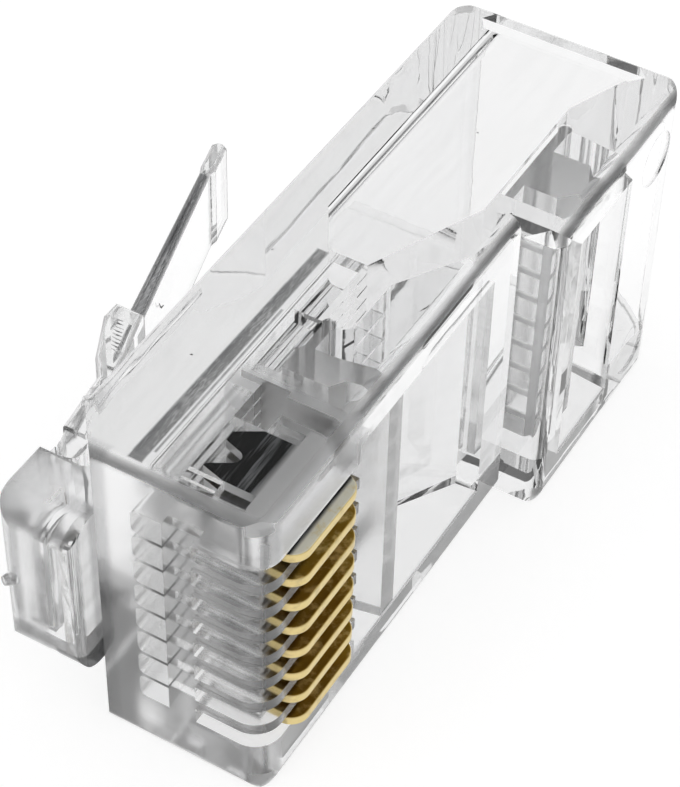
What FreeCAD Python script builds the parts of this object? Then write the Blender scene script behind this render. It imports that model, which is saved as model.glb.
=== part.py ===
import FreeCAD, Part
import math
import os

os.makedirs("parts", exist_ok=True)

# Modular plug, sizes in mm.
# X runs from the latch side to the contact side, Y from the nose to the cable end, Z across the width.
# The profile is drawn from the latch face (X 0) and the nose face (Y 0), then moved by the reference point.

# Body
body_width = 11.68
nose_height = 6.60
rear_step = 1.42
body_length = 22.48
step_y = 14.18
nose_chamfer_x = 1.15
nose_chamfer_y = 1.45
nose_corner_radius = 0.90
step_corner_radius = 0.45
rear_contact_radius = 1.00
rear_latch_radius = 0.85
contact_side_rim = 0.50
nose_rim = 0.42
fine_rim = 0.12

# Contacts, each in its own seat between the fins of the comb
contact_count = 8
contact_pitch = 1.016
contact_thickness = 0.33
contact_length = 3.42
contact_front_y = 1.15
contact_outer_x = 6.98
contact_height = 3.53
contact_corner_radius = 0.60
contact_edge_fillet = 0.05
shoulder_drop = 1.73
stem_setback = 0.60
stem_length = 2.12
tine_bevel_height = 0.75
front_tine_offset = 0.25
front_tine_tip = 0.10
rear_tine_offset = 1.49
rear_tine_tip = 0.34
notch_offset = 0.97
notch_depth = 1.10
notch_radius = 0.25
seat_clearance = 0.012
end_clearance = 0.03
fin_thickness = 0.416
fin_length = 3.80
fin_height = 2.35
seat_drop = 0.75
seat_front_wall = 0.22

# Conductor channels
channel_width = 0.90
channel_height = 1.00
channel_floor_x = 2.25
channel_corner_radius = 0.22
channel_front_wall = 0.35
channel_rear_y = 10.60

# Cable cavity, open at the rear
side_wall = 0.95
cavity_floor_x = 1.10
cavity_corner_radius = 0.70
cavity_height = 4.15
cavity_entry_step = 0.30
cavity_ramp_length = 3.80
funnel_length = 1.80
mouth_length = 2.60
mouth_break_length = 0.90
mouth_break_rise = 0.35
mouth_rise = 1.05
bell_depth = 0.45
bell_flare = 0.30

# Conductor clamp and its pocket
pocket_end_wall = 1.30
pocket_clearance = 0.05
comb_step = 0.23
conductor_pocket_floor_x = 2.62
conductor_bar_inner_x = 3.50
conductor_bar_height = 1.50
conductor_bar_gap = 0.72
conductor_bar_depth = 1.08
conductor_head_x = 6.55
conductor_head_rise_x = 0.30
conductor_head_offset = 0.46
conductor_head_depth = 0.76
conductor_web_length = 1.02
ledge_x = 4.45
ledge_length = 2.30
ledge_relief = 0.25
ledge_ramp_height = 1.40
ledge_ramp_length = 2.30

# Jacket clamp and its pocket
jacket_pocket_setback = 1.27
jacket_bar_gap = 0.75
jacket_bar_depth = 1.85
jacket_bar_height = 1.99
jacket_bar_bevel = 0.60
jacket_shelf_height = 0.28
jacket_web_length = 1.10
jacket_pocket_slope = 0.45

# Clamp hinges and grips
bar_pivot_radius = 0.20
bar_pivot_clearance = 0.02
web_thickness = 0.32
grip_groove_depth = 0.06
grip_groove_width = 0.34

# Latch root, part of the body
latch_root_width = 6.20
latch_root_front_y = -0.86
latch_root_rear_y = 1.42
latch_root_outer_x = -1.66
latch_root_inner_x = 1.02
latch_root_sink = 0.50
latch_root_web = 0.25
latch_root_fillet = 0.50
latch_root_inner_fillet = 0.30
latch_root_front_radius = 0.90
neck_length = 0.36
neck_inset = 0.20

# Latch
latch_pivot_x = -1.02
latch_pivot_y = 2.02
latch_pivot_radius = 0.42
latch_pivot_clearance = 0.02
tab_start_y = 2.45
tab_thickness = 0.92
tab_bend_x = -1.90
tab_bend_y = 4.55
hook_foot_x = -2.42
hook_foot_y = 5.20
hook_x = -3.18
hook_y = 6.75
shoulder_y = 7.40
shoulder_thickness = 0.96
latch_arm_width = 3.25
arm_slope_deg = 14.6
arm_inset = 0.10
arm_overlap = 0.75
arm_thickness = 0.52
arm_tip_thickness = 0.36
arm_root_gusset = 0.30
arm_gusset_length = 1.10
arm_taper_length = 0.80
arm_length = 9.00
tip_length = 1.30
tip_outer_lip = 0.06
tip_inner_lip = 0.10
tip_bevel = 0.15
tip_blend = 0.30
arm_edge_radius = 0.16
tab_edge_radius = 0.16

# Moulding marks
ejector_mark_radius = 0.95
ejector_mark_depth = 0.06
ejector_mark_setback = 1.85
ejector_mark_inset = 1.75
gate_stub_radius = 0.24
gate_stub_height = 0.34
gate_stub_inset = 0.45

# Stations that follow from the sizes above
rear_height = nose_height + rear_step
contact_end_y = contact_front_y + contact_length
shoulder_x = contact_outer_x - shoulder_drop
stem_front_y = contact_front_y + stem_setback
stem_rear_y = stem_front_y + stem_length
comb_end_y = contact_front_y + fin_length
slot_floor_x = nose_height - fin_height
slot_width = contact_pitch - fin_thickness
seat_top_x = nose_height - seat_drop
channel_roof_x = channel_floor_x + channel_height
cavity_roof_x = cavity_floor_x + cavity_height
conductor_pocket_front_y = comb_end_y + comb_step
conductor_bar_front_y = conductor_pocket_front_y + conductor_bar_gap
conductor_bar_rear_y = conductor_bar_front_y + conductor_bar_depth
hinge_wall_y = conductor_bar_rear_y + conductor_web_length
ledge_end_y = hinge_wall_y + ledge_length
ledge_top_x = ledge_x + ledge_ramp_height
ledge_top_y = ledge_end_y + ledge_ramp_length
jacket_pocket_front_y = step_y + jacket_pocket_setback
jacket_bar_front_y = jacket_pocket_front_y + jacket_bar_gap
jacket_bar_rear_y = jacket_bar_front_y + jacket_bar_depth
jacket_pivot_y = jacket_bar_rear_y + jacket_web_length

# Reference point: the middle of the side face that the plug rests on
reference_x = nose_height / 2
reference_y = body_length / 2

middle_z = body_width / 2
over = 1.0
overlap = 0.05


def prism(points, low_z, high_z):
    corners = [FreeCAD.Vector(x, y, low_z) for x, y in points]
    face = Part.Face(Part.makePolygon(corners + corners[:1]))
    return face.extrude(FreeCAD.Vector(0, 0, high_z - low_z))


def block(x0, x1, y0, y1, z0, z1):
    return prism([(x0, y0), (x1, y0), (x1, y1), (x0, y1)], z0, z1)


def upright_cylinder(x, y, radius, low_z, high_z):
    base = FreeCAD.Vector(x, y, low_z)
    return Part.makeCylinder(radius, high_z - low_z, base, FreeCAD.Vector(0, 0, 1))


def upright_edge(shape, x, y, reach=0.01):
    found = []
    for edge in shape.Edges:
        box = edge.BoundBox
        flat = box.XLength < reach and box.YLength < reach
        if flat and abs(box.XMin - x) < reach and abs(box.YMin - y) < reach:
            found.append(edge)
    return found


def contact_z(index):
    return middle_z + contact_pitch * ((contact_count - 1) / 2 - index)


# Body shell

def rounded_box(size, start, radii, direction):
    box = Part.makeBox(size[0], size[1], size[2], FreeCAD.Vector(*start))
    for radius, test in radii:
        chosen = []
        for edge in box.Edges:
            along = edge.tangentAt(edge.FirstParameter)
            if abs(abs(along.dot(direction)) - 1) < 0.001 and test(edge.CenterOfMass):
                chosen.append(edge)
        box = box.makeFillet(radius, chosen)
    return box


def section_solid(height, start_y, end_y):
    return rounded_box(
        (height, end_y - start_y, body_width), (0, start_y, 0),
        [
            (contact_side_rim, lambda c: c.x > height - 0.01),
            (fine_rim, lambda c: c.x < 0.01),
        ],
        FreeCAD.Vector(0, 1, 0),
    )


def end_solid():
    return rounded_box(
        (rear_height + 2 * over, body_length, body_width), (-over, 0, 0),
        [
            (nose_rim, lambda c: c.y < 0.01),
            (fine_rim, lambda c: c.y > body_length - 0.01),
        ],
        FreeCAD.Vector(1, 0, 0),
    )


def plan_solid():
    solid = prism([
        (nose_chamfer_x, 0),
        (nose_height, 0),
        (nose_height, step_y),
        (rear_height, step_y),
        (rear_height, body_length),
        (0, body_length),
        (0, nose_chamfer_y),
    ], 0, body_width)
    corners = [
        (nose_height, 0, nose_corner_radius),
        (rear_height, step_y, step_corner_radius),
        (rear_height, body_length, rear_contact_radius),
        (0, body_length, rear_latch_radius),
    ]
    for x, y, radius in corners:
        solid = solid.makeFillet(radius, upright_edge(solid, x, y))
    return solid


def outer_body():
    nose = section_solid(nose_height, -over, step_y + over)
    rear = section_solid(rear_height, step_y, body_length + over)
    return plan_solid().common(end_solid()).common(nose.fuse(rear))


# Latch root, moulded on the nose chamfer

def gate_stub():
    foot = FreeCAD.Vector(
        latch_root_outer_x + gate_stub_inset, latch_root_front_y + overlap, middle_z,
    )
    lean = FreeCAD.Vector(-0.5, -1, 0.12)
    return Part.makeCone(gate_stub_radius, gate_stub_radius * 0.6, gate_stub_height, foot, lean)


def latch_root():
    low = middle_z - latch_root_width / 2
    high = middle_z + latch_root_width / 2
    root = prism([
        (latch_root_outer_x, latch_root_front_y),
        (latch_root_inner_x, latch_root_front_y),
        (latch_root_inner_x, latch_root_sink),
        (overlap, latch_root_rear_y + latch_root_web),
        (-latch_root_web, latch_root_rear_y),
        (latch_root_outer_x, latch_root_rear_y),
    ], low, high)
    corners = [
        (latch_root_outer_x, latch_root_fillet),
        (latch_root_inner_x, latch_root_inner_fillet),
    ]
    for x, radius in corners:
        root = root.makeFillet(radius, upright_edge(root, x, latch_root_front_y))
    root = root.common(rounded_box(
        (
            latch_root_inner_x - latch_root_outer_x,
            latch_root_rear_y + over - latch_root_front_y,
            latch_root_width,
        ),
        (latch_root_outer_x, latch_root_front_y, low),
        [(latch_root_front_radius, lambda c: c.y < latch_root_front_y + 0.01)],
        FreeCAD.Vector(1, 0, 0),
    ))
    neck = block(
        latch_pivot_x - latch_pivot_radius, latch_pivot_x + latch_pivot_radius,
        latch_root_rear_y - overlap, latch_root_rear_y + neck_length,
        low + neck_inset, high - neck_inset,
    )
    socket = upright_cylinder(
        latch_pivot_x, latch_pivot_y, latch_pivot_radius + latch_pivot_clearance, 0, body_width,
    )
    return root.fuse([neck, gate_stub()]).cut(socket)


# Hollows in the body

def conductor_channel(z):
    half = channel_width / 2
    channel = block(
        channel_floor_x, channel_roof_x, channel_front_wall, channel_rear_y, z - half, z + half,
    )
    floor_edges = []
    for edge in channel.Edges:
        box = edge.BoundBox
        if box.YLength > 1 and box.XMax < channel_floor_x + 0.01:
            floor_edges.append(edge)
    return channel.makeFillet(channel_corner_radius, floor_edges)


def contact_slot(z):
    half_seat = contact_thickness / 2 + seat_clearance
    half_slot = slot_width / 2
    stem_seat = block(
        channel_roof_x - overlap, slot_floor_x + overlap,
        stem_front_y - end_clearance, stem_rear_y + end_clearance,
        z - half_seat, z + half_seat,
    )
    seat = block(
        slot_floor_x, seat_top_x + overlap,
        contact_front_y - end_clearance, contact_end_y + end_clearance,
        z - half_seat, z + half_seat,
    )
    slot = block(
        seat_top_x, nose_height + over, -over, comb_end_y + overlap, z - half_slot, z + half_slot,
    )
    entry = block(
        slot_floor_x, seat_top_x + overlap,
        -over, contact_front_y - end_clearance - seat_front_wall,
        z - half_slot, z + half_slot,
    )
    return [stem_seat, seat, slot, entry]


def cable_cavity():
    low = side_wall
    high = body_width - side_wall
    front_y = channel_rear_y - 0.1
    mouth_y = body_length - mouth_length
    mouth_x = cavity_roof_x + mouth_rise
    cavity = prism([
        (cavity_floor_x, channel_rear_y + funnel_length),
        (channel_floor_x, front_y),
        (channel_roof_x + cavity_entry_step, front_y),
        (cavity_roof_x, channel_rear_y + cavity_ramp_length),
        (cavity_roof_x, mouth_y),
        (cavity_roof_x + mouth_break_rise, mouth_y + mouth_break_length),
        (mouth_x, body_length),
        (mouth_x, body_length + over),
        (cavity_floor_x, body_length + over),
    ], low, high)
    floor_edges = []
    for edge in cavity.Edges:
        box = edge.BoundBox
        if box.ZLength < 0.001 and box.XLength < 0.001 and box.XMin < cavity_floor_x + 0.01:
            floor_edges.append(edge)
    cavity = cavity.makeFillet(cavity_corner_radius, floor_edges)
    bell = prism([
        (cavity_floor_x - bell_flare, body_length + 0.01),
        (cavity_floor_x, body_length - bell_depth),
        (mouth_x - 0.1, body_length - bell_depth),
        (mouth_x + bell_flare, body_length + 0.01),
    ], low, high)
    return [cavity, bell]


def pockets():
    low = pocket_end_wall
    high = body_width - pocket_end_wall
    top = nose_height + over
    rear_top = rear_height + over
    jacket_rear_y = jacket_pivot_y + 0.05
    conductor = prism([
        (conductor_pocket_floor_x, conductor_pocket_front_y),
        (slot_floor_x, conductor_pocket_front_y),
        (slot_floor_x, comb_end_y),
        (top, comb_end_y),
        (top, ledge_top_y + 0.15),
        (ledge_top_x, ledge_top_y),
        (ledge_x, ledge_end_y),
        (ledge_x, hinge_wall_y + ledge_relief),
        (ledge_x - ledge_relief, hinge_wall_y),
        (conductor_pocket_floor_x, hinge_wall_y),
    ], low, high)
    jacket = prism([
        (cavity_roof_x - overlap, jacket_pocket_front_y),
        (rear_top, jacket_pocket_front_y),
        (rear_top, jacket_rear_y - jacket_pocket_slope),
        (cavity_roof_x - overlap, jacket_rear_y),
    ], low, high)
    return [conductor, jacket]


def pivot_of(bar):
    if bar == "conductor":
        return conductor_bar_inner_x + 0.25, hinge_wall_y
    return cavity_roof_x + 0.27, jacket_pivot_y


def pivot_sockets():
    sockets = []
    for bar in ("conductor", "jacket"):
        x, y = pivot_of(bar)
        sockets.append(upright_cylinder(
            x, y, bar_pivot_radius + bar_pivot_clearance,
            pocket_end_wall, body_width - pocket_end_wall,
        ))
    return sockets


def ejector_marks():
    marks = []
    for z in (ejector_mark_inset, body_width - ejector_mark_inset):
        base = FreeCAD.Vector(
            rear_height - ejector_mark_depth, body_length - ejector_mark_setback, z,
        )
        marks.append(Part.makeCylinder(ejector_mark_radius, over, base, FreeCAD.Vector(1, 0, 0)))
    return marks


def housing():
    body = outer_body().fuse(latch_root())
    hollows = []
    for index in range(contact_count):
        z = contact_z(index)
        hollows += [conductor_channel(z)] + contact_slot(z)
    body = body.cut(hollows)
    body = body.cut(cable_cavity())
    body = body.cut(pockets())
    body = body.cut(pivot_sockets() + ejector_marks())
    return body.removeSplitter()


# Latch

def rounded_prism(points, low, high, radius, test):
    solid = prism(points, low, high)
    rims = []
    for edge in solid.Edges:
        if edge.BoundBox.ZLength < 0.001 and test(edge.CenterOfMass):
            rims.append(edge)
    return solid.makeFillet(radius, rims)


def latch_tab():
    wide_low = middle_z - latch_root_width / 2
    wide_high = middle_z + latch_root_width / 2
    neck_low = wide_low + neck_inset
    neck_high = wide_high - neck_inset
    half = latch_pivot_radius - 0.02
    tab_outer_x = latch_pivot_x - half - 0.2
    tab_inner_x = tab_outer_x + tab_thickness
    barrel = upright_cylinder(
        latch_pivot_x, latch_pivot_y, latch_pivot_radius, neck_low, neck_high,
    )
    root = prism([
        (latch_pivot_x - half, latch_pivot_y),
        (latch_pivot_x + half, latch_pivot_y),
        (tab_inner_x - overlap, tab_start_y + overlap),
        (tab_outer_x + overlap, tab_start_y + overlap),
    ], neck_low, neck_high)
    wide = rounded_prism([
        (tab_outer_x, tab_start_y),
        (tab_inner_x, tab_start_y),
        (hook_x + shoulder_thickness, shoulder_y),
        (hook_x, shoulder_y),
        (hook_x, hook_y),
        (hook_foot_x, hook_foot_y),
        (tab_bend_x, tab_bend_y),
    ], wide_low, wide_high, tab_edge_radius, lambda c: c.y > tab_start_y + 0.01)
    return barrel.fuse([root, wide, latch_arm()]).removeSplitter()


def latch_arm():
    low = middle_z - latch_arm_width / 2
    high = middle_z + latch_arm_width / 2
    slope = math.radians(arm_slope_deg)
    start_x = hook_x + arm_inset
    start_y = shoulder_y - arm_overlap

    def arm_point(distance, offset):
        x = start_x - math.sin(slope) * distance + math.cos(slope) * offset
        y = start_y + math.cos(slope) * distance + math.sin(slope) * offset
        return x, y

    root_thickness = arm_thickness + arm_root_gusset
    tip_end = arm_length + tip_length
    return rounded_prism([
        arm_point(0, 0),
        arm_point(0, root_thickness),
        arm_point(arm_gusset_length, root_thickness),
        arm_point(arm_gusset_length + arm_taper_length, arm_thickness),
        arm_point(arm_length - tip_blend, arm_tip_thickness),
        arm_point(arm_length, arm_tip_thickness + tip_inner_lip),
        arm_point(tip_end - tip_bevel, arm_tip_thickness + tip_inner_lip),
        arm_point(tip_end, arm_tip_thickness - tip_bevel / 2),
        arm_point(tip_end, tip_bevel - tip_outer_lip),
        arm_point(tip_end - tip_bevel, -tip_outer_lip),
        arm_point(arm_length, -tip_outer_lip),
        arm_point(arm_length - tip_blend, 0),
    ], low, high, arm_edge_radius, lambda c: c.y > start_y + 0.3)


# Clamp bars, each on a thin web with a hinge barrel at its rear

def grip_grooves(x0, x1, y):
    cuts = []
    for index in range(contact_count):
        z = contact_z(index)
        half = grip_groove_width / 2
        corners = [
            FreeCAD.Vector(x0, y - 0.01, z - half),
            FreeCAD.Vector(x0, y + grip_groove_depth, z),
            FreeCAD.Vector(x0, y - 0.01, z + half),
        ]
        face = Part.Face(Part.makePolygon(corners + corners[:1]))
        cuts.append(face.extrude(FreeCAD.Vector(x1 - x0, 0, 0)))
    return cuts


def clamp_bar(points, bar, groove_span, groove_y):
    low = pocket_end_wall + pocket_clearance
    high = body_width - pocket_end_wall - pocket_clearance
    x, y = pivot_of(bar)
    barrel = upright_cylinder(x, y, bar_pivot_radius, low, high)
    solid = prism(points, low, high).fuse(barrel)
    solid = solid.cut(grip_grooves(groove_span[0], groove_span[1], groove_y))
    return solid.removeSplitter()


def conductor_clamp():
    pivot_x, pivot_y = pivot_of("conductor")
    web = web_thickness / 2
    neck_x = conductor_bar_inner_x + conductor_bar_height
    head_y = conductor_bar_front_y + conductor_head_offset
    points = [
        (conductor_bar_inner_x, conductor_bar_front_y),
        (neck_x, conductor_bar_front_y),
        (neck_x + conductor_head_rise_x, head_y),
        (conductor_head_x, head_y + 0.26),
        (conductor_head_x, head_y + 0.26 + conductor_head_depth),
        (neck_x - conductor_head_rise_x, conductor_bar_rear_y + 0.04),
        (pivot_x + web, conductor_bar_rear_y),
        (pivot_x + web, pivot_y),
        (pivot_x - web, pivot_y),
        (pivot_x - web, conductor_bar_rear_y),
        (conductor_bar_inner_x, conductor_bar_rear_y - 0.18),
    ]
    groove_span = (conductor_bar_inner_x + 0.3, neck_x)
    return clamp_bar(points, "conductor", groove_span, conductor_bar_front_y)


def jacket_clamp():
    pivot_x, pivot_y = pivot_of("jacket")
    web = web_thickness / 2
    foot_x = pivot_x - web
    shelf_x = foot_x + jacket_shelf_height
    outer_x = foot_x + jacket_bar_height
    shelf_y = jacket_pocket_front_y + pocket_clearance
    points = [
        (foot_x, shelf_y),
        (shelf_x, shelf_y),
        (shelf_x, jacket_bar_front_y),
        (outer_x - jacket_bar_bevel, jacket_bar_front_y),
        (outer_x, jacket_bar_front_y + jacket_bar_bevel),
        (outer_x, jacket_bar_rear_y - jacket_bar_bevel),
        (outer_x - jacket_bar_bevel * 0.7, jacket_bar_rear_y),
        (pivot_x + web, jacket_bar_rear_y),
        (pivot_x + web, pivot_y),
        (foot_x, pivot_y),
    ]
    return clamp_bar(points, "jacket", (shelf_x, outer_x - jacket_bar_bevel), jacket_bar_front_y)


# Contacts

def contact_outline():
    inner_x = contact_outer_x - contact_height
    bevel_x = inner_x + tine_bevel_height
    front_tip_y = stem_front_y + front_tine_offset
    rear_tip_y = stem_front_y + rear_tine_offset
    return [
        (contact_outer_x, contact_front_y),
        (contact_outer_x, contact_end_y),
        (shoulder_x, contact_end_y),
        (shoulder_x, stem_rear_y),
        (bevel_x, stem_rear_y),
        (inner_x, rear_tip_y + rear_tine_tip / 2),
        (inner_x, rear_tip_y - rear_tine_tip / 2),
        (inner_x + notch_depth, stem_front_y + notch_offset),
        (inner_x, front_tip_y + front_tine_tip / 2),
        (inner_x, front_tip_y - front_tine_tip / 2),
        (bevel_x, stem_front_y),
        (shoulder_x, stem_front_y),
        (shoulder_x, contact_front_y),
    ]


def contact(index):
    z = contact_z(index)
    low = z - contact_thickness / 2
    plate = prism(contact_outline(), low, low + contact_thickness)
    notch_x = contact_outer_x - contact_height + notch_depth
    notch = upright_edge(plate, notch_x, stem_front_y + notch_offset)
    plate = plate.makeFillet(notch_radius, notch)
    for y in (contact_front_y, contact_end_y):
        plate = plate.makeFillet(contact_corner_radius, upright_edge(plate, contact_outer_x, y))
    outer_rims = []
    for edge in plate.Edges:
        box = edge.BoundBox
        if box.ZLength < 0.001 and box.XMax > contact_outer_x - contact_corner_radius - 0.01:
            outer_rims.append(edge)
    return plate.makeFillet(contact_edge_fillet, outer_rims)


def save(name, shape):
    moved = shape.copy()
    moved.translate(FreeCAD.Vector(-reference_x, -reference_y, 0))
    moved.exportStep("parts/" + name + ".step")
    box = moved.BoundBox
    print(name, len(moved.Solids), moved.isValid(), round(moved.Volume, 3), box)


save("housing", housing())
save("latch_tab", latch_tab())
save("conductor_clamp", conductor_clamp())
save("jacket_clamp", jacket_clamp())
for number in range(contact_count):
    save("contact_" + str(number + 1), contact(number))
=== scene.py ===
import math

import bpy
from mathutils import Matrix, Vector


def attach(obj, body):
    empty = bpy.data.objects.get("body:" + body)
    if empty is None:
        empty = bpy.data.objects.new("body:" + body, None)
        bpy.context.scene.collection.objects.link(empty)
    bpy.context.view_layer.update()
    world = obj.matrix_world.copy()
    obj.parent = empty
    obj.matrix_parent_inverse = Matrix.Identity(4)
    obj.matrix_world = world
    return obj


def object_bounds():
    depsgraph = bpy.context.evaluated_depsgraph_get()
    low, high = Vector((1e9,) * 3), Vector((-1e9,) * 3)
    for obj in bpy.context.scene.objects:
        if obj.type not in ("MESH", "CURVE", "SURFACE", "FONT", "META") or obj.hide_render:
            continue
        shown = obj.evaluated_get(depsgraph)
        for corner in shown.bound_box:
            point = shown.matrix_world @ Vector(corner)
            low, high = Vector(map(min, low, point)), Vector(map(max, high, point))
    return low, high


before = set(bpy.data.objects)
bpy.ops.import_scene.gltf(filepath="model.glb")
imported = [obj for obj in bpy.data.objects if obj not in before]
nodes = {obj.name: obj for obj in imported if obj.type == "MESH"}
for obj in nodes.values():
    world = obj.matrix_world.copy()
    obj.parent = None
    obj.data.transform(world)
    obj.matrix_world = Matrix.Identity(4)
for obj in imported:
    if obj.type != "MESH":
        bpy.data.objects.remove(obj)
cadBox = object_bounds()
print("stage: frame loaded", sorted(nodes))


def boxList(pair):
    return [list(map(float, pair[0])), list(map(float, pair[1]))]


# the plug lies on its side, so Z runs across its width
lowCorner, highCorner = boxList(cadBox)
middleZ = (lowCorner[2] + highCorner[2]) / 2


# Node tree helpers

def newMaterial(name):
    material = bpy.data.materials.new(name)
    material.use_nodes = True
    tree = material.node_tree
    tree.nodes.clear()
    return material, tree


def addNode(tree, kind, **values):
    node = tree.nodes.new(kind)
    for key, value in values.items():
        if hasattr(node, key):
            setattr(node, key, value)
        else:
            node.inputs[key.replace("_", " ")].default_value = value
    return node


def link(tree, start, end):
    tree.links.new(start, end)


def compute(tree, operation, first, second):
    node = addNode(tree, "ShaderNodeMath", operation=operation)
    for socket, value in zip(node.inputs, (first, second)):
        if isinstance(value, (int, float)):
            socket.default_value = value
        else:
            link(tree, value, socket)
    return node.outputs[0]


def remap(tree, value, low, high, start=0.0, end=1.0):
    node = addNode(tree, "ShaderNodeMapRange", interpolation_type="SMOOTHSTEP")
    for label, number in (("From Min", low), ("From Max", high), ("To Min", start), ("To Max", end)):
        node.inputs[label].default_value = number
    link(tree, value, node.inputs["Value"])
    return node.outputs[0]


def mixColor(tree, factor, first, second):
    node = addNode(tree, "ShaderNodeMix", data_type="RGBA")
    for socket, value in zip((node.inputs[0], node.inputs[6], node.inputs[7]), (factor, first, second)):
        if isinstance(value, (int, float, tuple)):
            socket.default_value = value
        else:
            link(tree, value, socket)
    return node.outputs[2]


def newGroup(name, inputs, outputs):
    group = bpy.data.node_groups.new(name, "ShaderNodeTree")
    for label, value in inputs:
        socket = group.interface.new_socket(name=label, in_out="INPUT", socket_type="NodeSocketFloat")
        socket.default_value = value
    for label, kind in outputs:
        group.interface.new_socket(name=label, in_out="OUTPUT", socket_type=kind)
    return group, group.nodes.new("NodeGroupInput"), group.nodes.new("NodeGroupOutput")


def useGroup(tree, group, **values):
    node = tree.nodes.new("ShaderNodeGroup")
    node.node_tree = group
    for key, value in values.items():
        node.inputs[key.replace("_", " ")].default_value = value
    return node


def finishMaterial(tree, shader):
    out = addNode(tree, "ShaderNodeOutputMaterial")
    link(tree, shader.outputs[0], out.inputs["Surface"])
    return out


# Moulded surface: slow waves, flow lines along the body, lumps on the latch root, satin rims

mouldPattern = {
    # greatest share of a normal along one axis, from a rounded rim to a flat face
    "rimTurn": (0.86, 0.985),
    "flowScale": 1500.0,
    "flowStretch": (1.0, 0.16, 1.0),
    "flowMask": (0.42, 0.68),
    "grainScale": 9000.0,
    # the lumps fade out behind the front of the latch root
    "lumpScale": 620.0,
    "lumpStretch": (0.55, 0.55, 1.5),
    "lumpX": (-0.0036, -0.0026),
    "lumpY": (-0.0098, -0.0092),
    "lumpLeast": 0.15,
    "speckleScale": 22000.0,
    "speckleMask": (0.22, 0.40),
    "bumpDistance": 0.0001,
}


def makeMouldSurface(pattern):
    group, start, end = newGroup(
        "mouldSurface",
        [("Wave Scale", 300.0), ("Wave Height", 0.3), ("Flow", 0.1), ("Polish", 0.02), ("Haze", 0.05),
         ("Rim Frost", 0.2), ("Rim Start", 0.0), ("Patch Height", 0.0)],
        [("Mask", "NodeSocketFloat"), ("Rim", "NodeSocketFloat"), ("Speckle", "NodeSocketFloat"),
         ("Roughness", "NodeSocketFloat"), ("Normal", "NodeSocketVector")],
    )
    place = addNode(group, "ShaderNodeTexCoord")
    facing = addNode(group, "ShaderNodeSeparateXYZ")
    link(group, place.outputs["Normal"], facing.inputs[0])
    turns = [compute(group, "ABSOLUTE", facing.outputs[axis], 0.0) for axis in "XYZ"]
    squarest = compute(group, "MAXIMUM", compute(group, "MAXIMUM", turns[0], turns[1]), turns[2])
    where = addNode(group, "ShaderNodeSeparateXYZ")
    link(group, place.outputs["Object"], where.inputs[0])
    fromMiddle = compute(group, "ABSOLUTE", compute(group, "SUBTRACT", where.outputs["Z"], middleZ), 0.0)
    outer = compute(group, "GREATER_THAN", fromMiddle, start.outputs["Rim Start"])
    rim = compute(group, "MULTIPLY", remap(group, squarest, *pattern["rimTurn"], 1.0, 0.0), outer)
    link(group, rim, end.inputs["Rim"])
    waves = addNode(group, "ShaderNodeTexNoise", Detail=2.0, Roughness=0.45)
    link(group, place.outputs["Object"], waves.inputs["Vector"])
    link(group, start.outputs["Wave Scale"], waves.inputs["Scale"])
    along = addNode(group, "ShaderNodeMapping", Scale=pattern["flowStretch"])
    link(group, place.outputs["Object"], along.inputs["Vector"])
    flow = addNode(group, "ShaderNodeTexNoise", Scale=pattern["flowScale"], Detail=2.0, Roughness=0.6)
    link(group, along.outputs[0], flow.inputs["Vector"])
    grain = addNode(group, "ShaderNodeTexNoise", Scale=pattern["grainScale"], Detail=0.0)
    link(group, place.outputs["Object"], grain.inputs["Vector"])
    waveHeight = compute(group, "MULTIPLY", waves.outputs["Fac"], start.outputs["Wave Height"])
    flowHeight = compute(group, "MULTIPLY", flow.outputs["Fac"], start.outputs["Flow"])
    rootX = remap(group, where.outputs["X"], *pattern["lumpX"], 1.0, pattern["lumpLeast"])
    rootY = remap(group, where.outputs["Y"], *pattern["lumpY"], 1.0, 0.0)
    patch = compute(group, "MULTIPLY", rootX, rootY)
    patch = compute(group, "MULTIPLY", patch, start.outputs["Patch Height"])
    across = addNode(group, "ShaderNodeMapping", Scale=pattern["lumpStretch"])
    link(group, place.outputs["Object"], across.inputs["Vector"])
    lumps = addNode(group, "ShaderNodeTexNoise", Scale=pattern["lumpScale"], Detail=1.0, Roughness=0.45)
    link(group, across.outputs[0], lumps.inputs["Vector"])
    patchHeight = compute(group, "MULTIPLY", lumps.outputs["Fac"], patch)
    bump = addNode(group, "ShaderNodeBump", Distance=pattern["bumpDistance"], Strength=1.0)
    height = compute(group, "ADD", waveHeight, flowHeight)
    link(group, compute(group, "ADD", height, patchHeight), bump.inputs["Height"])
    link(group, bump.outputs["Normal"], end.inputs["Normal"])
    haze = compute(group, "MULTIPLY", grain.outputs["Fac"], start.outputs["Haze"])
    rimFrost = compute(group, "MULTIPLY", rim, start.outputs["Rim Frost"])
    plain = compute(group, "ADD", haze, start.outputs["Polish"])
    link(group, compute(group, "ADD", plain, rimFrost), end.inputs["Roughness"])
    link(group, remap(group, flow.outputs["Fac"], *pattern["flowMask"]), end.inputs["Mask"])
    fine = addNode(group, "ShaderNodeTexNoise", Scale=pattern["speckleScale"], Detail=1.0, Roughness=0.7)
    link(group, along.outputs[0], fine.inputs["Vector"])
    mottle = compute(group, "MULTIPLY", fine.outputs["Fac"], waves.outputs["Fac"])
    link(group, remap(group, mottle, *pattern["speckleMask"]), end.inputs["Speckle"])
    return group


mouldSurface = makeMouldSurface(mouldPattern)


# Zones: a mask that is one inside a box and soft at its sides

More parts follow.
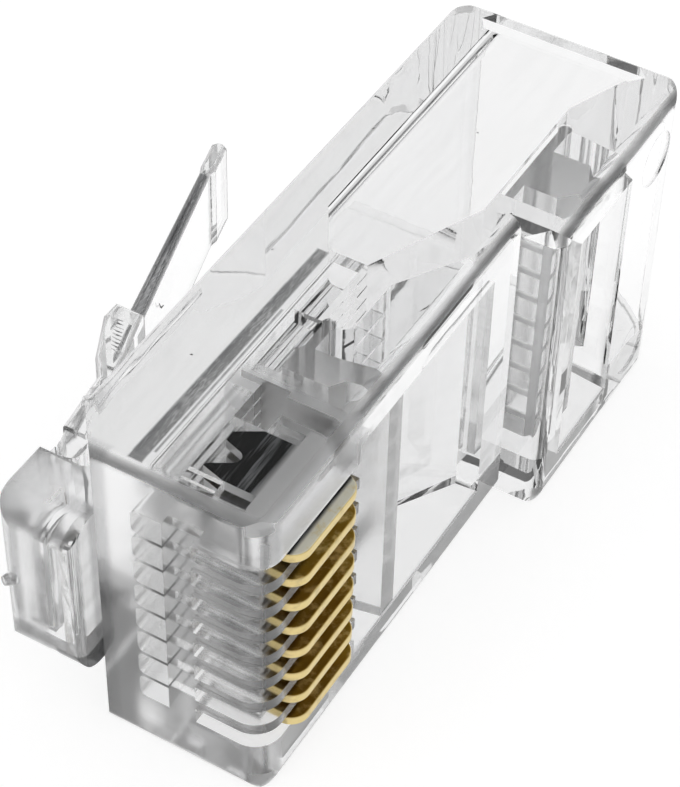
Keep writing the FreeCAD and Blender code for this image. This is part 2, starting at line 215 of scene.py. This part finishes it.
def makeWindow():
    group, start, end = newGroup(
        "boxWindow",
        [("Low X", 0.0), ("High X", 1.0), ("Low Y", 0.0), ("High Y", 1.0), ("Low Z", 0.0),
         ("High Z", 1.0), ("Soft", 0.0001), ("Slope", 0.0)],
        [("Inside", "NodeSocketFloat")],
    )
    place = addNode(group, "ShaderNodeTexCoord")
    where = addNode(group, "ShaderNodeSeparateXYZ")
    link(group, place.outputs["Object"], where.inputs[0])
    along = compute(group, "SUBTRACT", where.outputs["Y"], start.outputs["Low Y"])
    lean = compute(group, "MULTIPLY", along, start.outputs["Slope"])
    inside = None
    for axis in "XYZ":
        low = start.outputs["Low " + axis]
        if axis == "X":
            low = compute(group, "ADD", low, lean)
        deep = compute(
            group, "MINIMUM",
            compute(group, "SUBTRACT", where.outputs[axis], low),
            compute(group, "SUBTRACT", start.outputs["High " + axis], where.outputs[axis]),
        )
        inside = deep if inside is None else compute(group, "MINIMUM", inside, deep)
    share = compute(group, "DIVIDE", inside, start.outputs["Soft"])
    link(group, remap(group, share, -0.5, 0.5), end.inputs["Inside"])
    return group


boxWindow = makeWindow()


# low and high corner and soft border in metres, roughness added, tint, lean of the low X side along Y
def zone(low, high, soft, frost, tint, lean=0.0):
    return {"low": low, "high": high, "soft": soft, "frost": frost, "tint": tint + (1.0,), "lean": lean}


bodyLook = {
    "tint": (0.968, 0.969, 0.971, 1.0),
    "streak": (0.938, 0.939, 0.941, 1.0),
    # painted light: the rounded rims get a paler tint that lifts their dark shading
    "rimPaintedLift": (0.985, 0.986, 0.988, 1.0),
    "rimFrost": 0.40,
    "rimStart": 0.0052,
    "patchHeight": 0.42,
    "zones": [
        # nose face
        zone((-0.0030, -0.0114, -0.001), (0.0040, -0.01085, 0.0128), 0.0002, 0.14, (0.98, 0.981, 0.983)),
        # latch side of the nose face: a painted dark reflection
        zone((-0.0036, -0.0114, -0.001), (-0.0017, -0.01085, 0.0128), 0.0003, 0.04, (0.50, 0.501, 0.505)),
        # comb of fins
        zone((-0.0012, -0.0110, 0.0010), (0.0034, -0.0060, 0.0107), 0.0002, 0.14, (0.99, 0.991, 0.992)),
        # contact side of the wall above the first contact: painted shade, a grey tint
        zone((0.0030, -0.0112, 0.0098), (0.0035, -0.0062, 0.0113), 0.0002, 0.10, (0.60, 0.602, 0.606)),
        # front and ends of the latch root: frosted, with a grey tint painted as shade
        zone((-0.0052, -0.0125, 0.0020), (-0.0034, -0.0098, 0.0095), 0.0003, 0.24, (0.80, 0.802, 0.806)),
        # lower edge of the latch root: painted shade, near black
        zone((-0.0032, -0.0125, 0.0026), (-0.0022, -0.0100, 0.0036), 0.0001, 0.05, (0.06, 0.061, 0.062)),
        # wall between the comb and the conductor clamp
        zone((-0.0012, -0.0064, 0.0010), (0.0034, -0.0056, 0.0107), 0.0001, 0.25, (0.97, 0.972, 0.975)),
        # painted shade: a dark strip painted in the upper side face, standing in for a dark refraction
        # inside the plastic, a bright hairline left beside it, then a thinner painted strip
        zone(
            (-0.00117, -0.0109, 0.0116), (-0.00071, -0.0013, 0.0118), 0.00008, 0.10,
            (0.07, 0.071, 0.072), lean=0.008,
        ),
        zone(
            (-0.00117, -0.0106, 0.0116), (-0.00098, -0.0030, 0.0118), 0.00014, 0.0,
            (0.04, 0.041, 0.042), lean=0.010,
        ),
        zone((-0.00066, -0.0104, 0.0116), (-0.00058, -0.0040, 0.0118), 0.00006, 0.06, (0.16, 0.161, 0.162)),
    ],
    # power that makes the speckles of a zone paler than its tint
    "speckleLift": 0.6,
    "ior": 1.585,
    "polish": 0.0,
    "haze": 0.03,
    "waveScale": 300.0,
    "waveHeight": 0.12,
    "flow": 0.012,
    "absorption": 3.0,
}

latchLook = dict(
    bodyLook, waveHeight=0.25, flow=0.03, haze=0.06, rimStart=0.0, patchHeight=0.0,
    zones=[
        # edge faces of the arm: painted shade, near black
        zone((-0.0086, -0.0042, 0.0074), (-0.0050, 0.0038, 0.0080), 0.0001, 0.08, (0.05, 0.051, 0.053)),
    ],
)
clampLook = dict(
    bodyLook, tint=(1.0, 1.0, 1.0, 1.0), streak=(0.99, 0.99, 0.99, 1.0), absorption=0.0,
    waveHeight=0.20, flow=0.02, polish=0.15, haze=0.06, rimStart=0.0, patchHeight=0.0, zones=[],
)


def makeClearPlastic(name, look):
    material, tree = newMaterial(name)
    surface = useGroup(
        tree, mouldSurface, Wave_Scale=look["waveScale"], Wave_Height=look["waveHeight"],
        Flow=look["flow"], Polish=look["polish"], Haze=look["haze"],
        Rim_Frost=look["rimFrost"], Rim_Start=look["rimStart"], Patch_Height=look["patchHeight"],
    )
    shader = addNode(
        tree, "ShaderNodeBsdfPrincipled", Metallic=0.0, IOR=look["ior"], Transmission_Weight=1.0,
    )
    tint = mixColor(tree, surface.outputs["Mask"], look["tint"], look["streak"])
    # painted light: a paler tint on the rims lifts their dark shading
    tint = mixColor(tree, surface.outputs["Rim"], tint, look["rimPaintedLift"])
    roughness = surface.outputs["Roughness"]
    for area in look["zones"]:
        low, high = area["low"], area["high"]
        window = useGroup(
            tree, boxWindow, Low_X=low[0], High_X=high[0], Low_Y=low[1], High_Y=high[1],
            Low_Z=low[2], High_Z=high[2], Soft=area["soft"], Slope=area["lean"],
        )
        paler = tuple(value ** look["speckleLift"] for value in area["tint"])
        speckled = mixColor(tree, surface.outputs["Speckle"], area["tint"], paler)
        tint = mixColor(tree, window.outputs["Inside"], tint, speckled)
        extra = compute(tree, "MULTIPLY", window.outputs["Inside"], area["frost"])
        roughness = compute(tree, "ADD", roughness, extra)
    link(tree, tint, shader.inputs["Base Color"])
    link(tree, roughness, shader.inputs["Roughness"])
    link(tree, surface.outputs["Normal"], shader.inputs["Normal"])
    out = finishMaterial(tree, shader)
    inside = addNode(
        tree, "ShaderNodeVolumeAbsorption", Color=(0.0, 0.0, 0.0, 1.0), Density=look["absorption"],
    )
    link(tree, inside.outputs[0], out.inputs["Volume"])
    return material


# Contacts: gold plate on the edges, duller flanks painted a darker gold as shade, and painted shade with
# paler streaks where the plastic holds them

contactPattern = {
    # along X in metres: the pale band's start and end, and where the edges come clear of the plastic
    "paleStart": (0.00175, 0.00200),
    "paleEnd": (0.00240, 0.00250),
    "edgeOpen": (0.0024, 0.0028),
    "flankTurn": (0.75, 0.95),
    "blotchScale": 2200.0,
    "blotchMask": (0.47, 0.72),
    "streakScale": 6000.0,
    "streakStretch": (1.0, 0.06, 1.0),
    "streakTurn": 45.0,
    "streakMask": (0.50, 0.70),
    "streakDull": 0.18,
    "grain": 0.3,
    "bumpDistance": 0.000004,
}


def makeContactMasks(pattern):
    group, start, end = newGroup(
        "contactMasks",
        [("Cover From", 0.0022), ("Cover To", 0.0030)],
        [("Flank", "NodeSocketFloat"), ("Open", "NodeSocketFloat"), ("Pale", "NodeSocketFloat"),
         ("Blotch", "NodeSocketFloat"), ("Streak", "NodeSocketFloat"), ("Edge Open", "NodeSocketFloat"),
         ("Normal", "NodeSocketVector")],
    )
    place = addNode(group, "ShaderNodeTexCoord")
    facing = addNode(group, "ShaderNodeSeparateXYZ")
    link(group, place.outputs["Normal"], facing.inputs[0])
    upright = compute(group, "ABSOLUTE", facing.outputs["Z"], 0.0)
    link(group, remap(group, upright, *pattern["flankTurn"]), end.inputs["Flank"])
    where = addNode(group, "ShaderNodeSeparateXYZ")
    link(group, place.outputs["Object"], where.inputs[0])
    opened = addNode(group, "ShaderNodeMapRange", interpolation_type="SMOOTHSTEP")
    link(group, where.outputs["X"], opened.inputs["Value"])
    link(group, start.outputs["Cover From"], opened.inputs["From Min"])
    link(group, start.outputs["Cover To"], opened.inputs["From Max"])
    link(group, opened.outputs[0], end.inputs["Open"])
    link(group, remap(group, where.outputs["X"], *pattern["edgeOpen"]), end.inputs["Edge Open"])
    up = remap(group, where.outputs["X"], *pattern["paleStart"])
    down = remap(group, where.outputs["X"], *pattern["paleEnd"], 1.0, 0.0)
    link(group, compute(group, "MULTIPLY", up, down), end.inputs["Pale"])
    blotch = addNode(group, "ShaderNodeTexNoise", Scale=pattern["blotchScale"], Detail=4.0, Roughness=0.65)
    link(group, place.outputs["Object"], blotch.inputs["Vector"])
    link(group, remap(group, blotch.outputs["Fac"], *pattern["blotchMask"]), end.inputs["Blotch"])
    turn = addNode(
        group, "ShaderNodeMapping", Rotation=(0.0, 0.0, math.radians(pattern["streakTurn"])),
        Scale=pattern["streakStretch"],
    )
    link(group, place.outputs["Object"], turn.inputs["Vector"])
    streak = addNode(group, "ShaderNodeTexNoise", Scale=pattern["streakScale"], Detail=3.0, Roughness=0.6)
    link(group, turn.outputs[0], streak.inputs["Vector"])
    link(group, remap(group, streak.outputs["Fac"], *pattern["streakMask"]), end.inputs["Streak"])
    bump = addNode(group, "ShaderNodeBump", Distance=pattern["bumpDistance"], Strength=pattern["grain"])
    link(group, streak.outputs["Fac"], bump.inputs["Height"])
    link(group, bump.outputs["Normal"], end.inputs["Normal"])
    return group


contactMasks = makeContactMasks(contactPattern)

contactLook = {
    "edge": (0.72, 0.58, 0.27, 1.0),
    "edgeWorn": (0.56, 0.45, 0.22, 1.0),
    # painted shade: the flanks are painted a darker gold than the edges
    "flank": (0.36, 0.21, 0.025, 1.0),
    "flankWorn": (0.86, 0.64, 0.24, 1.0),
    # painted shade: the part the plastic holds is painted dark
    "heldShade": (0.10, 0.085, 0.055, 1.0),
    "heldEdge": (0.70, 0.70, 0.70, 1.0),
    "scuff": (0.22, 0.21, 0.19, 1.0),
    "pale": (0.16, 0.15, 0.13, 1.0),
    "roughness": 0.34,
    "flankDull": 0.06,
    "paleDull": 0.20,
    "coverFrom": 0.0020,
    "coverTo": 0.0029,
}

# the outer contact is a lit copy of the contact gold: painted reflection turns its flanks pale silver, and
# its held part is painted near black as shade
outerContactPaintedLook = dict(
    contactLook, flank=(0.96, 0.94, 0.82, 1.0), flankWorn=(0.88, 0.78, 0.48, 1.0),
    heldShade=(0.012, 0.0125, 0.013, 1.0), scuff=(0.42, 0.43, 0.44, 1.0), pale=(0.99, 0.99, 0.99, 1.0),
    coverFrom=0.00326, coverTo=0.00342, flankDull=0.30, paleDull=0.60,
)


def makeContactMetal(name, look):
    material, tree = newMaterial(name)
    masks = useGroup(tree, contactMasks, Cover_From=look["coverFrom"], Cover_To=look["coverTo"])
    edge = mixColor(tree, masks.outputs["Blotch"], look["edge"], look["edgeWorn"])
    flank = mixColor(tree, masks.outputs["Blotch"], look["flank"], look["flankWorn"])
    edge = mixColor(tree, masks.outputs["Edge Open"], look["heldEdge"], edge)
    # painted shade where the plastic holds the contact, broken by paler streaks and a pale band
    heldShade = mixColor(tree, masks.outputs["Streak"], look["heldShade"], look["scuff"])
    heldShade = mixColor(tree, masks.outputs["Pale"], heldShade, look["pale"])
    flank = mixColor(tree, masks.outputs["Open"], heldShade, flank)
    color = mixColor(tree, masks.outputs["Flank"], edge, flank)
    shader = addNode(tree, "ShaderNodeBsdfPrincipled", Metallic=1.0)
    link(tree, color, shader.inputs["Base Color"])
    dull = compute(tree, "MULTIPLY", masks.outputs["Streak"], contactPattern["streakDull"])
    openFlank = compute(tree, "MULTIPLY", masks.outputs["Flank"], masks.outputs["Open"])
    dull = compute(tree, "ADD", dull, compute(tree, "MULTIPLY", openFlank, look["flankDull"]))
    dull = compute(tree, "ADD", dull, compute(tree, "MULTIPLY", masks.outputs["Pale"], look["paleDull"]))
    link(tree, compute(tree, "ADD", dull, look["roughness"]), shader.inputs["Roughness"])
    link(tree, masks.outputs["Normal"], shader.inputs["Normal"])
    finishMaterial(tree, shader)
    return material


def assign(obj, material):
    for slot in obj.material_slots:
        slot.material = material
    if not obj.material_slots:
        obj.data.materials.append(material)


assign(nodes["housing"], makeClearPlastic("clearBody", bodyLook))
assign(nodes["latch_tab"], makeClearPlastic("clearLatch", latchLook))
clearClamp = makeClearPlastic("clearClamp", clampLook)
assign(nodes["conductor_clamp"], clearClamp)
assign(nodes["jacket_clamp"], clearClamp)
innerContact = makeContactMetal("contactGold", contactLook)
assign(nodes["contact_1"], makeContactMetal("outerContactPaintedLight", outerContactPaintedLook))
for number in range(2, 9):
    assign(nodes["contact_%d" % number], innerContact)
print("stage: materials")


# Small marks: flash chips, whiskers, hairs and dust, each a bent sliver that tapers to both ends

markLook = {
    # spines are in mm from the latch face, the nose face and the resting side
    "shift": (3.3, 11.24, 0.0),
    "sides": 6,
    "taper": (0.35, 0.3),
    # how far a corner wanders, and its turns by mark, by step along the spine and by corner
    "wander": 0.35,
    "wanderTurns": (2.3, 1.9, 2.7),
    "chip": (0.86, 0.862, 0.866, 1.0),
    "whisker": (0.30, 0.302, 0.306, 1.0),
    "dust": (0.10, 0.095, 0.09, 1.0),
    "ior": 1.585,
    "grainScale": 14000.0,
    "shadeMask": (0.40, 0.62),
    "shadeDark": 0.6,
    "roughMask": (0.3, 0.7),
    "roughness": (0.18, 0.5),
    "bumpDistance": 0.00001,
    "bumpStrength": 0.6,
}


def makeMarkMaterial(name, color, clear, look):
    material, tree = newMaterial(name)
    place = addNode(tree, "ShaderNodeTexCoord")
    grain = addNode(tree, "ShaderNodeTexNoise", Scale=look["grainScale"], Detail=3.0, Roughness=0.6)
    link(tree, place.outputs["Object"], grain.inputs["Vector"])
    shader = addNode(tree, "ShaderNodeBsdfPrincipled", Metallic=0.0, IOR=look["ior"])
    if clear:
        shader.inputs["Transmission Weight"].default_value = 1.0
    dark = tuple(value * look["shadeDark"] for value in color[:3]) + (1.0,)
    shade = mixColor(tree, remap(tree, grain.outputs["Fac"], *look["shadeMask"]), color, dark)
    link(tree, shade, shader.inputs["Base Color"])
    rough = remap(tree, grain.outputs["Fac"], *look["roughMask"], *look["roughness"])
    link(tree, rough, shader.inputs["Roughness"])
    bump = addNode(tree, "ShaderNodeBump", Distance=look["bumpDistance"], Strength=look["bumpStrength"])
    link(tree, grain.outputs["Fac"], bump.inputs["Height"])
    link(tree, bump.outputs["Normal"], shader.inputs["Normal"])
    finishMaterial(tree, shader)
    return material


chipPlastic = makeMarkMaterial("chipPlastic", markLook["chip"], True, markLook)
whiskerPlastic = makeMarkMaterial("whiskerPlastic", markLook["whisker"], True, markLook)
dustFibre = makeMarkMaterial("dustFibre", markLook["dust"], False, markLook)


def sliverMesh(name, points, width, thickness, seed):
    spine = [(Vector(point) - Vector(markLook["shift"])) / 1000 for point in points]
    sides = markLook["sides"]
    early, late = markLook["taper"]
    byMark, byStep, byCorner = markLook["wanderTurns"]
    corners, faces = [], []
    for step, center in enumerate(spine):
        ahead = spine[min(step + 1, len(spine) - 1)] - spine[max(step - 1, 0)]
        ahead.normalize()
        side = ahead.cross(Vector((0, 0, 1))).normalized()
        lift = side.cross(ahead)
        share = math.sin(math.pi * (step + early) / (len(spine) - late))
        for turn in range(sides):
            angle = 2 * math.pi * turn / sides
            phase = seed * byMark + step * byStep + turn * byCorner
            reach = share * (1 + markLook["wander"] * math.sin(phase)) / 1000
            across = side * (math.cos(angle) * width * reach)
            upward = lift * (math.sin(angle) * thickness * reach)
            corners.append(center + across + upward)
    for step in range(len(spine) - 1):
        for turn in range(sides):
            after = (turn + 1) % sides
            low, high = step * sides, (step + 1) * sides
            faces.append((low + turn, low + after, high + after, high + turn))
    faces.append(tuple(reversed(range(sides))))
    faces.append(tuple(range(len(corners) - sides, len(corners))))
    mesh = bpy.data.meshes.new(name)
    mesh.from_pydata([tuple(corner) for corner in corners], [], faces)
    mesh.update()
    return mesh


def addSliver(name, body, material, points, width, thickness, seed):
    mesh = sliverMesh(name, points, width, thickness, seed)
    mesh.materials.append(material)
    piece = bpy.data.objects.new(name, mesh)
    bpy.context.scene.collection.objects.link(piece)
    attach(piece, body)


# name, body, material, spine, half width and half thickness in mm
marks = [
    ("chip_1", "housing", chipPlastic,
     [(-0.02, 1.38, 11.5), (-0.10, 1.60, 11.56), (-0.05, 1.80, 11.5)], 0.09, 0.05),
    ("chip_2", "housing", chipPlastic,
     [(-0.06, 1.85, 11.5), (-0.16, 2.00, 11.52), (-0.10, 2.22, 11.5)], 0.08, 0.04),
    ("chip_3", "housing", chipPlastic,
     [(-0.04, 2.25, 11.5), (-0.12, 2.42, 11.5), (-0.02, 2.60, 11.52)], 0.07, 0.04),
    ("chip_4", "housing", chipPlastic,
     [(0.05, 1.50, 11.6), (0.14, 1.62, 11.62), (0.12, 1.78, 11.62)], 0.05, 0.03),
    ("hair_1", "housing", dustFibre,
     [(5.97, 9.22, 11.64), (6.01, 9.30, 11.65), (6.04, 9.39, 11.65), (6.07, 9.49, 11.65),
      (6.06, 9.60, 11.64)], 0.020, 0.014),
    ("hair_2", "latch_tab", dustFibre,
     [(-3.33, 9.80, 6.83), (-3.36, 9.92, 6.54), (-3.42, 10.16, 6.43)], 0.03, 0.02),
    ("speck_1", "housing", dustFibre,
     [(0.82, 15.40, 11.64), (0.86, 15.44, 11.65), (0.90, 15.45, 11.64)], 0.03, 0.02),
    ("speck_2", "housing", dustFibre,
     [(1.46, 4.40, 11.64), (1.49, 4.43, 11.65), (1.53, 4.42, 11.64)], 0.03, 0.02),
    ("speck_3", "housing", dustFibre,
     [(3.60, 16.9, 11.64), (3.63, 16.93, 11.65), (3.67, 16.92, 11.64)], 0.02, 0.02),
    ("speck_4", "housing", dustFibre,
     [(1.10, 9.20, 11.64), (1.12, 9.23, 11.65), (1.16, 9.24, 11.64)], 0.02, 0.02),
]

# a row of whiskers on the latch tab, in mm: every third one is the shortest
whiskerRow = {
    "count": 9,
    "first": (-2.86, 6.80, 8.94),
    "step": (0.085, -0.14, 0.0),
    "bend": (0.16, -0.03, 0.02),
    "length": 0.34,
    "longer": 0.02,
    "halfWidth": 0.028,
    "halfThickness": 0.020,
}
for step in range(whiskerRow["count"]):
    root = Vector(whiskerRow["first"]) + Vector(whiskerRow["step"]) * step
    middle = root + Vector(whiskerRow["bend"])
    tip = root + Vector((whiskerRow["length"] + whiskerRow["longer"] * (step % 3), 0.0, 0.0))
    marks.append((
        "whisker_%d" % (step + 1), "latch_tab", whiskerPlastic,
        [root, middle, tip], whiskerRow["halfWidth"], whiskerRow["halfThickness"],
    ))
for seed, (name, body, material, points, width, thickness) in enumerate(marks):
    addSliver(name, body, material, points, width, thickness, seed)
print("stage: small marks", len(marks))


# Studio: an even pale room with darker sides, which draw the edges of the clear plastic

studio = {
    "floorColor": (0.45, 0.45, 0.45, 1.0),
    "floorGlow": 0.78,
    "floorWhite": -0.03,
    "floorSize": 0.30,
    "floorDrop": 0.00002,
    "roomLevel": 0.95,
    "darkSides": [
        # azimuth and height in degrees, outer and inner reach in degrees, share of the light taken away
        (132.0, 45.0, 26.0, 9.0, 0.84),
        (165.0, 45.0, 22.0, 8.0, 0.50),
        (104.0, 45.0, 20.0, 6.0, 0.25),
        (28.0, 45.0, 32.0, 10.0, 0.36),
        (75.0, 45.0, 20.0, 6.0, 0.12),
    ],
}


def pathSeen(tree, kinds):
    path = addNode(tree, "ShaderNodeLightPath")
    seen = path.outputs[kinds[0]]
    for kind in kinds[1:]:
        seen = compute(tree, "MAXIMUM", seen, path.outputs[kind])
    return seen


def makeFloor(look):
    mesh = bpy.data.meshes.new("studioFloor")
    half = look["floorSize"]
    mesh.from_pydata(
        [(-half, -half, 0), (half, -half, 0), (half, half, 0), (-half, half, 0)], [], [(0, 1, 2, 3)],
    )
    floor = bpy.data.objects.new("studioFloor", mesh)
    bpy.context.scene.collection.objects.link(floor)
    floor.location = (0, 0, -look["floorDrop"])
    material, tree = newMaterial("floorPaper")
    material.cycles.emission_sampling = "NONE"
    paper = addNode(tree, "ShaderNodeBsdfDiffuse", Color=look["floorColor"])
    glow = addNode(tree, "ShaderNodeEmission")
    seen = pathSeen(tree, ("Is Camera Ray", "Is Glossy Ray", "Is Transmission Ray"))
    direct = compute(tree, "MULTIPLY", pathSeen(tree, ("Is Camera Ray",)), look["floorWhite"])
    level = compute(tree, "MULTIPLY", seen, look["floorGlow"])
    link(tree, compute(tree, "ADD", level, direct), glow.inputs["Strength"])
    both = addNode(tree, "ShaderNodeAddShader")
    link(tree, paper.outputs[0], both.inputs[0])
    link(tree, glow.outputs[0], both.inputs[1])
    finishMaterial(tree, both)
    mesh.materials.append(material)


def darkSide(tree, direction, side):
    azimuth, height, reach, core = [math.radians(value) for value in side[:4]]
    toward = addNode(tree, "ShaderNodeVectorMath", operation="DOT_PRODUCT")
    link(tree, direction, toward.inputs[0])
    toward.inputs[1].default_value = (
        math.cos(height) * math.cos(azimuth), math.cos(height) * math.sin(azimuth), math.sin(height),
    )
    return remap(tree, toward.outputs["Value"], math.cos(reach), math.cos(core), 1.0, 1.0 - side[4])


def makeWorld(look):
    world = bpy.data.worlds.new("studioWorld")
    bpy.context.scene.world = world
    world.cycles.sampling_method = "NONE"
    world.use_nodes = True
    tree = world.node_tree
    tree.nodes.clear()
    place = addNode(tree, "ShaderNodeTexCoord")
    level = look["roomLevel"]
    for side in look["darkSides"]:
        level = compute(tree, "MULTIPLY", darkSide(tree, place.outputs["Generated"], side), level)
    room = addNode(tree, "ShaderNodeBackground")
    link(tree, level, room.inputs["Strength"])
    white = addNode(tree, "ShaderNodeBackground", Color=(1, 1, 1, 1), Strength=1.0)
    mix = addNode(tree, "ShaderNodeMixShader")
    link(tree, pathSeen(tree, ("Is Camera Ray",)), mix.inputs[0])
    link(tree, room.outputs[0], mix.inputs[1])
    link(tree, white.outputs[0], mix.inputs[2])
    out = addNode(tree, "ShaderNodeOutputWorld")
    link(tree, mix.outputs[0], out.inputs["Surface"])


makeFloor(studio)
makeWorld(studio)
print("stage: studio")


# Camera

cameraFit = {
    "place": (0.025836, -0.047124, 0.059995),
    "right": (0.85960620, 0.51062615, 0.01838779),
    "down": (0.37590663, -0.60762046, -0.69963675),
    "ahead": (-0.34608002, 0.60832418, -0.71426207),
    "focalPixels": 2503.772,
    "picturePixels": 787.0,
}


def makeCamera(look):
    data = bpy.data.cameras.new("photoCamera")
    data.sensor_width = 36.0
    data.lens = look["focalPixels"] / look["picturePixels"] * data.sensor_width
    data.clip_start = 0.002
    data.clip_end = 10.0
    camera = bpy.data.objects.new("photoCamera", data)
    bpy.context.scene.collection.objects.link(camera)
    right = Vector(look["right"]).normalized()
    up = -Vector(look["down"]).normalized()
    back = -Vector(look["ahead"]).normalized()
    turn = Matrix((right, up, back)).transposed().to_4x4()
    turn.translation = Vector(look["place"])
    camera.matrix_world = turn
    bpy.context.scene.camera = camera


makeCamera(cameraFit)
scene = bpy.context.scene
scene.view_settings.view_transform = "Standard"
scene.cycles.max_bounces = 17
scene.cycles.transmission_bounces = 16
scene.cycles.glossy_bounces = 8
scene.cycles.diffuse_bounces = 2
scene.cycles.sample_clamp_indirect = 4.0
